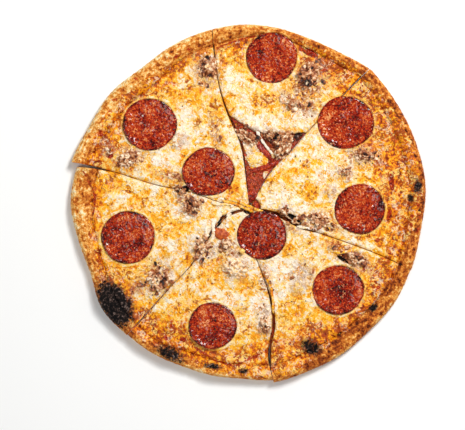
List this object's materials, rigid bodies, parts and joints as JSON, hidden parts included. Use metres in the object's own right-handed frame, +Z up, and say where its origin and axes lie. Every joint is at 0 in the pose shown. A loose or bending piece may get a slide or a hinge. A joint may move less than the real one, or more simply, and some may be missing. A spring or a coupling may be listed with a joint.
{
  "type": "pizza",
  "caption": "Round baked pizza cut into slices that still lie together, with a raised crust, sauce, melted cheese, pepperoni and crumbled meat.",
  "frame": {"origin": "on the surface that the pizza rests on, below the middle of its bounding box", "axes": "+Z up out of the toppings; +Y towards the top of the picture, where the slice whose cheese has slipped from its tip lies; +X to the picture's right"},
  "size_m": [0.3044, 0.3068, 0.0148],
  "materials": {
    "baked_crust": "rough, matte",
    "tomato_sauce": "moist, glossy",
    "melted_cheese": "melted, slightly glossy",
    "pepperoni": "oily, glossy",
    "browned_meat": "rough, slightly moist"
  },
  "bodies": {
    "root": {"crust_1": "baked_crust", "crust_2": "baked_crust", "crust_3": "baked_crust", "crust_4": "baked_crust", "crust_5": "baked_crust", "crust_6": "baked_crust", "sauce_1": "tomato_sauce", "sauce_2": "tomato_sauce", "sauce_3": "tomato_sauce", "sauce_4": "tomato_sauce", "sauce_5": "tomato_sauce", "sauce_6": "tomato_sauce", "cheese_1": "melted_cheese", "cheese_2": "melted_cheese", "cheese_3": "melted_cheese", "cheese_4": "melted_cheese", "cheese_5": "melted_cheese", "cheese_6": "melted_cheese", "cheese_scrap": "melted_cheese", "pepperoni_1": "pepperoni", "pepperoni_2": "pepperoni", "pepperoni_3": "pepperoni", "pepperoni_4": "pepperoni", "pepperoni_5": "pepperoni", "pepperoni_6": "pepperoni", "pepperoni_7": "pepperoni", "pepperoni_8": "pepperoni", "pepperoni_9": "pepperoni", "meat_1": "browned_meat", "meat_2": "browned_meat", "meat_3": "browned_meat", "meat_4": "browned_meat", "meat_5": "browned_meat", "meat_6": "browned_meat", "meat_7": "browned_meat", "meat_8": "browned_meat", "meat_9": "browned_meat", "meat_10": "browned_meat", "meat_11": "browned_meat", "meat_12": "browned_meat", "meat_13": "browned_meat", "meat_14": "browned_meat", "meat_15": "browned_meat", "meat_16": "browned_meat", "meat_17": "browned_meat", "meat_18": "browned_meat", "meat_19": "browned_meat", "meat_20": "browned_meat"}
  },
  "joints": []
}
